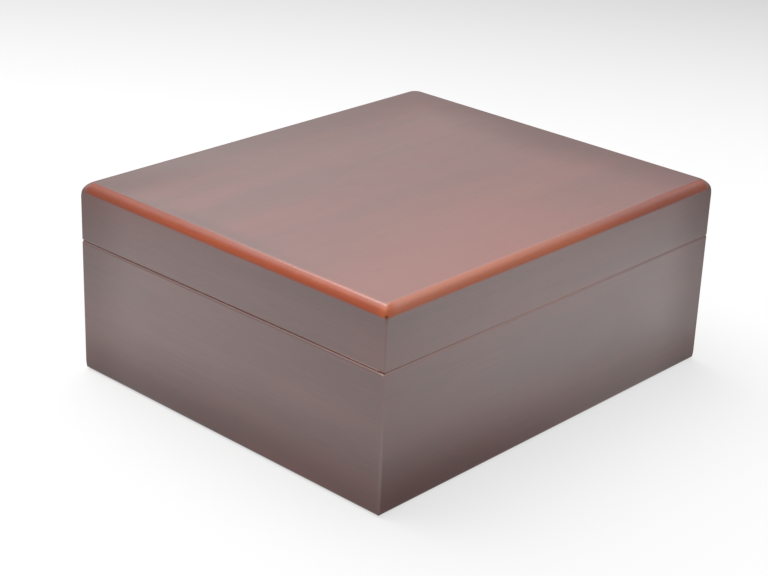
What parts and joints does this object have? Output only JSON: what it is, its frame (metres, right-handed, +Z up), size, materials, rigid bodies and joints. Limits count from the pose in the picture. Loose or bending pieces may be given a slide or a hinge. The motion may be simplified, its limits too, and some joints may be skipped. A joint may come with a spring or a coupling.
{
  "type": "lidded presentation case",
  "caption": "Rectangular veneered wooden presentation case with a flush round-edged lid on stop hinges at the back, lined and padded inside for keepsakes or a folded flag.",
  "frame": {"origin": "middle of the flat felt underside, on the surface that the case stands on", "axes": "+Z up, -Y out of the front, +Y out of the hinged back, X along the long side"},
  "size_m": [0.263, 0.2284, 0.109],
  "materials": {
    "dark_veneer": "satin lacquer",
    "stained_core": "satin lacquer",
    "plain_tongue": "bare",
    "suede_lining": "napped",
    "under_felt": "felted",
    "hinge_brass": "brushed",
    "pin_brass": "turned",
    "screw_brass": "turned"
  },
  "bodies": {
    "base": {"base_front_wall": "stained_core", "base_front_veneer": "dark_veneer", "base_front_liner": "suede_lining", "base_right_wall": "stained_core", "base_right_veneer": "dark_veneer", "base_right_liner": "suede_lining", "base_back_wall": "stained_core", "base_back_veneer": "dark_veneer", "base_back_liner": "suede_lining", "base_left_wall": "stained_core", "base_left_veneer": "dark_veneer", "base_left_liner": "suede_lining", "base_bottom_panel": "stained_core", "base_felt": "under_felt", "base_floor_pad": "suede_lining", "base_mitre_tongues": "plain_tongue", "left_hinge_base_leaf": "hinge_brass", "right_hinge_base_leaf": "hinge_brass", "left_hinge_pin": "pin_brass", "right_hinge_pin": "pin_brass", "hinge_base_screws": "screw_brass"},
    "lid": {"lid_front_wall": "stained_core", "lid_front_veneer": "dark_veneer", "lid_front_liner": "suede_lining", "lid_right_wall": "stained_core", "lid_right_veneer": "dark_veneer", "lid_right_liner": "suede_lining", "lid_back_wall": "stained_core", "lid_back_veneer": "dark_veneer", "lid_back_liner": "suede_lining", "lid_left_wall": "stained_core", "lid_left_veneer": "dark_veneer", "lid_left_liner": "suede_lining", "lid_top_panel": "stained_core", "lid_top_veneer": "dark_veneer", "lid_pad": "suede_lining", "lid_mitre_tongues": "plain_tongue", "left_hinge_lid_leaf": "hinge_brass", "right_hinge_lid_leaf": "hinge_brass", "hinge_lid_screws": "screw_brass"}
  },
  "joints": [
    {"name": "lid_hinge", "type": "hinge", "parent": "base", "child": "lid", "pos_m": [0, 0.114, 0.07635], "axis": [-1, 0, 0], "range_deg": [0, 95]}
  ]
}
